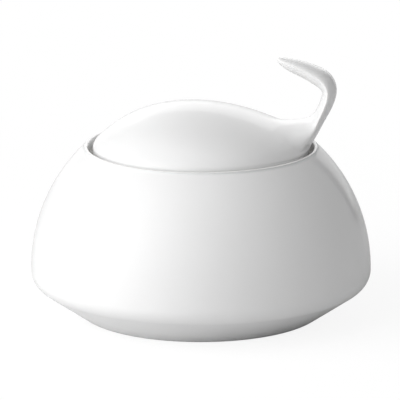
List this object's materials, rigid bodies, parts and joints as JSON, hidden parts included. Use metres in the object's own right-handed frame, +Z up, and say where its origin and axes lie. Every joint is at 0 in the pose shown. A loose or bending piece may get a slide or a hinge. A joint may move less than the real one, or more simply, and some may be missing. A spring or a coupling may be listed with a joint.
{
  "type": "covered sugar bowl",
  "caption": "Low round white porcelain sugar bowl on a sloping foot, with a loose recessed lid that sweeps up at one side into a curled hook handle.",
  "frame": {"origin": "centre of the foot ring, on the plane that the bowl stands on", "axes": "+Z up along the bowl's axis; +X towards the side on which the hook handle rises; y = 0 is the plane of symmetry"},
  "size_m": [0.115, 0.115, 0.0878],
  "materials": {
    "porcelain": "clear gloss glaze over white porcelain"
  },
  "bodies": {
    "bowl": {"bowl": "porcelain"},
    "lid": {"lid": "porcelain"}
  },
  "joints": [
    {"name": "lid_lift", "type": "slide", "parent": "bowl", "child": "lid", "axis": [0, 0, 1], "range_m": [0, 0.1]}
  ]
}
